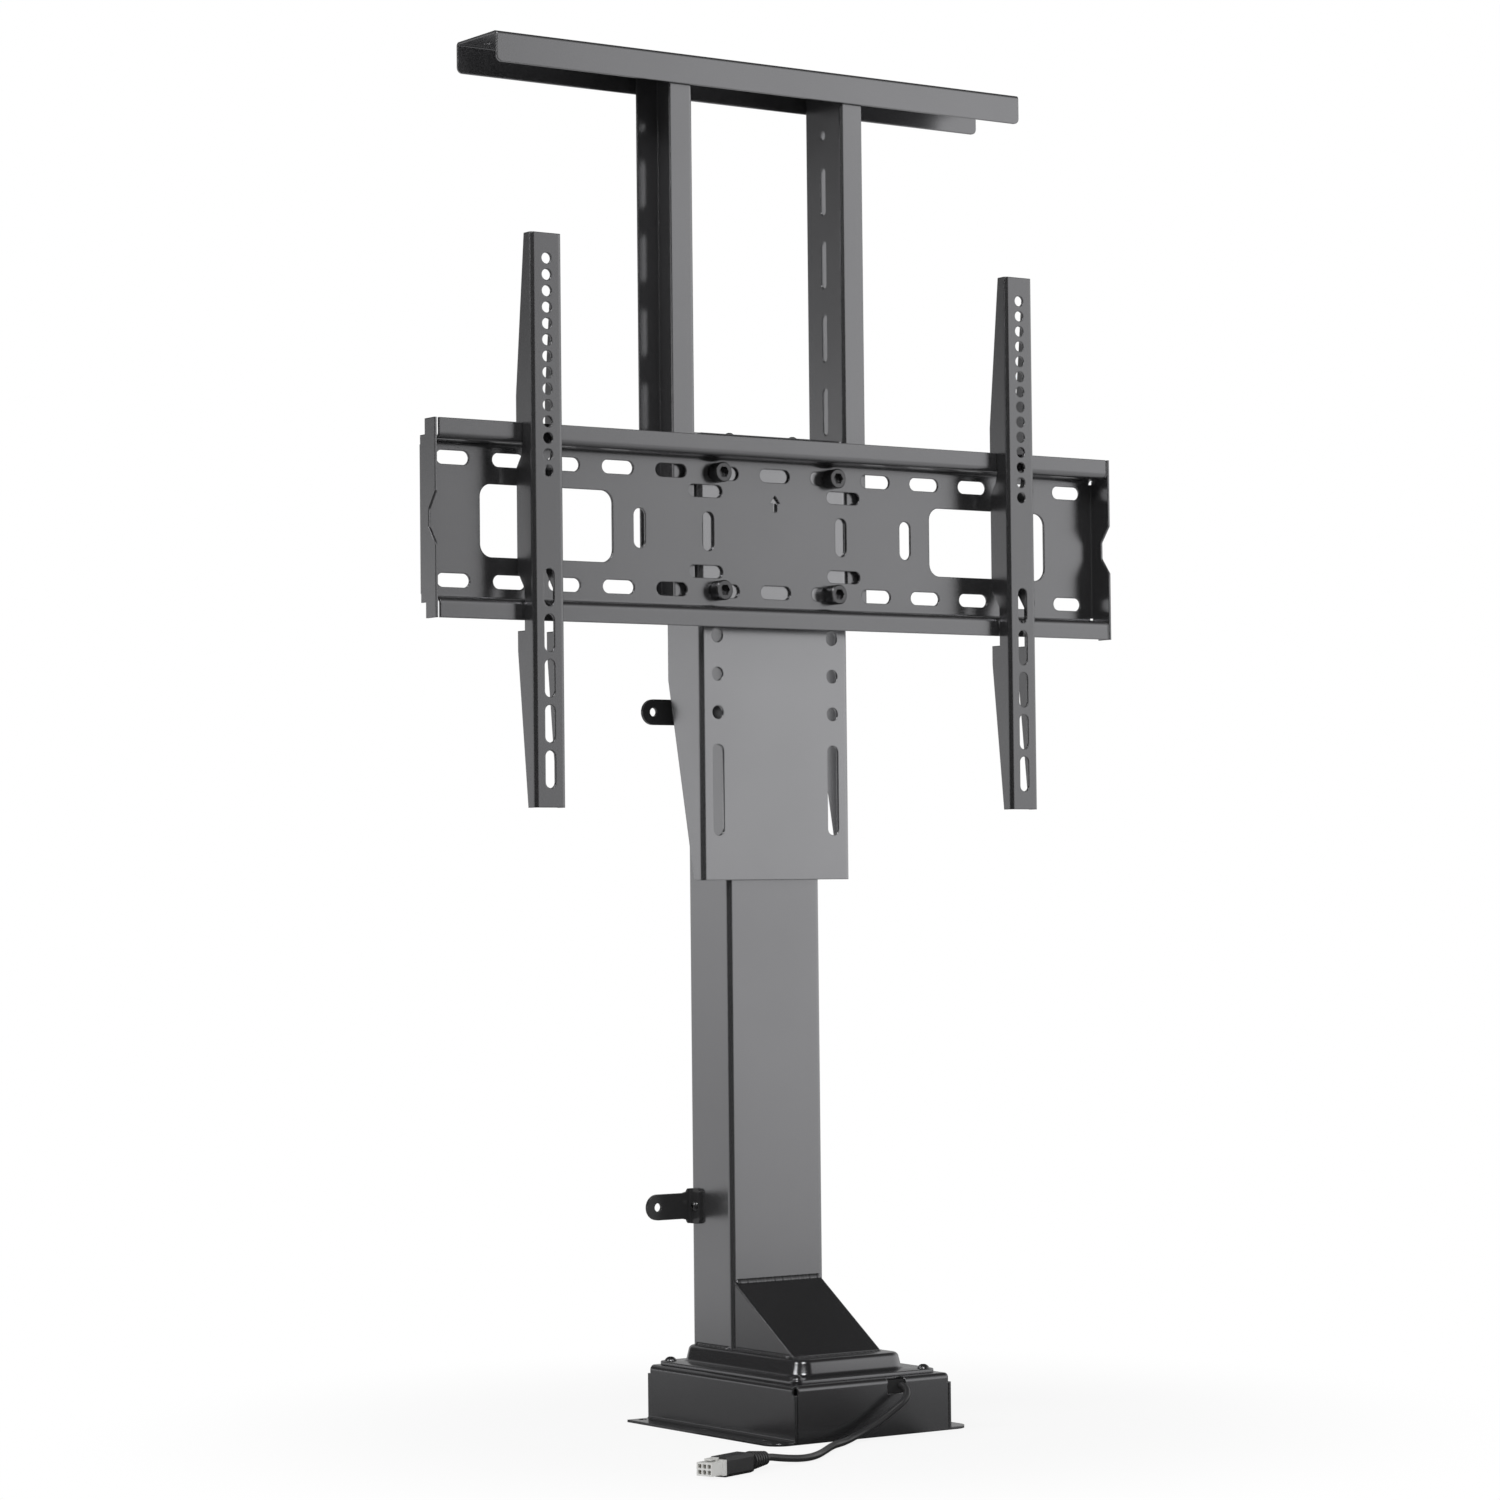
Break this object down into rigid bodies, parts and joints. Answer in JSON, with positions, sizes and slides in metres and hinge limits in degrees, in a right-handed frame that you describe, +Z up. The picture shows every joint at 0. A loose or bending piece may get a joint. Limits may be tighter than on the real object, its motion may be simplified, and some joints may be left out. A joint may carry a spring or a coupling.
{
  "type": "tv lift mechanism",
  "caption": "Motorised telescopic column lift for a flat screen, with a slotted mounting plate, sliding hook-on arms, a bolted base, wall tabs and a carrier frame for a cabinet lid.",
  "frame": {"origin": "middle of the base housing's footprint, on the floor", "axes": "+Z up along the lift's travel, +X to the right seen from the screen side, -Y towards the screen"},
  "size_m": [0.658, 0.3197, 1.086],
  "materials": {
    "base_coat": "glossy black powder coat",
    "column_coat": "satin metallic grey-black coat",
    "stage_coat": "satin metallic grey-black coat",
    "carriage_coat": "satin metallic grey-black coat",
    "plate_coat": "fine-grain metallic grey-black coat",
    "arm_coat": "fine-grain metallic grey-black coat",
    "frame_coat": "fine-grain metallic grey-black coat",
    "tab_coat": "gloss paint",
    "black_oxide": "black oxide",
    "zinc_screw": "zinc plated",
    "black_rubber": "matte",
    "cord_jacket": "satin",
    "connector_black": "matte moulded",
    "connector_white": "natural nylon",
    "terminal_metal": "tin plated",
    "black_plastic": "moulded",
    "glide_plastic": "smooth moulded",
    "cast_alloy": "die cast",
    "bearing_steel": "ground",
    "motor_can": "satin",
    "screw_steel": "rolled and greased",
    "bronze": "machined"
  },
  "bodies": {
    "base": {"base_housing": "base_coat", "base_cover": "base_coat", "cover_screws": "black_oxide", "outer_column": "column_coat", "front_brace": "base_coat", "weld_beads": "base_coat", "lower_wall_tab": "tab_coat", "upper_wall_tab": "tab_coat", "tab_screws": "black_oxide", "cord_grommet": "black_rubber", "cord": "cord_jacket", "connector_mould": "connector_black", "connector_housing": "connector_white", "connector_terminals": "terminal_metal", "gearbox_housing": "cast_alloy", "gearbox_lid": "cast_alloy", "gearbox_screws": "zinc_screw", "gearbox_nuts": "zinc_screw", "foot_bearing": "bearing_steel", "thrust_bearing": "bearing_steel", "drive_motor": "motor_can", "motor_end_cap": "black_plastic", "motor_screws": "zinc_screw", "motor_lead": "cord_jacket", "column_collar": "glide_plastic"},
    "drive_screw": {"lower_screw": "screw_steel", "worm_wheel": "bronze"},
    "worm": {"worm_shaft": "screw_steel"},
    "middle_stage": {"middle_column": "stage_coat", "middle_foot": "black_plastic", "lower_nut": "bronze", "screw_bearing": "bearing_steel", "middle_glide": "glide_plastic", "middle_collar": "glide_plastic"},
    "lift_screw": {"upper_screw": "screw_steel", "drive_rod": "screw_steel"},
    "screen_carriage": {"inner_column": "stage_coat", "upper_nut": "bronze", "inner_glide": "glide_plastic", "head_plate": "carriage_coat", "carriage": "carriage_coat", "head_screws": "black_oxide", "tv_plate": "plate_coat", "plate_bolts": "black_oxide", "plate_nuts": "zinc_screw", "upright_bolts": "black_oxide", "upright_nuts": "zinc_screw"},
    "left_screen_arm": {"left_arm": "arm_coat"},
    "right_screen_arm": {"right_arm": "arm_coat"},
    "lid_frame": {"left_upright": "frame_coat", "right_upright": "frame_coat", "top_bracket": "frame_coat"}
  },
  "joints": [
    {"name": "lift_slide", "type": "slide", "parent": "base", "child": "middle_stage", "axis": [0, 0, 1], "range_m": [0, 0.45]},
    {"name": "inner_slide", "type": "slide", "parent": "middle_stage", "child": "screen_carriage", "axis": [0, 0, 1], "range_m": [0, 0.45]},
    {"name": "drive_screw_spin", "type": "hinge", "parent": "base", "child": "drive_screw", "pos_m": [0, 0.053, 0.3], "axis": [0, 0, 1], "continuous": true},
    {"name": "lift_screw_spin", "type": "hinge", "parent": "middle_stage", "child": "lift_screw", "pos_m": [0, 0.053, 0.3], "axis": [0, 0, 1], "continuous": true},
    {"name": "worm_spin", "type": "hinge", "parent": "base", "child": "worm", "pos_m": [0.024, 0.053, 0.021], "axis": [0, 1, 0], "continuous": true},
    {"name": "left_arm_slide", "type": "slide", "parent": "screen_carriage", "child": "left_screen_arm", "axis": [1, 0, 0], "range_m": [-0.0625, 0.1375]},
    {"name": "right_arm_slide", "type": "slide", "parent": "screen_carriage", "child": "right_screen_arm", "axis": [1, 0, 0], "range_m": [-0.1225, 0.0775]},
    {"name": "lid_frame_slide", "type": "slide", "parent": "screen_carriage", "child": "lid_frame", "axis": [0, 0, 1], "range_m": [-0.015, 0.015]}
  ],
  "couplings": [
    {"joint": "inner_slide", "follows": "lift_slide", "ratio": 1},
    {"joint": "drive_screw_spin", "follows": "lift_slide", "rad_per_m": 523.6},
    {"joint": "lift_screw_spin", "follows": "lift_slide", "rad_per_m": 523.6},
    {"joint": "worm_spin", "follows": "lift_slide", "rad_per_m": 6283.2}
  ]
}
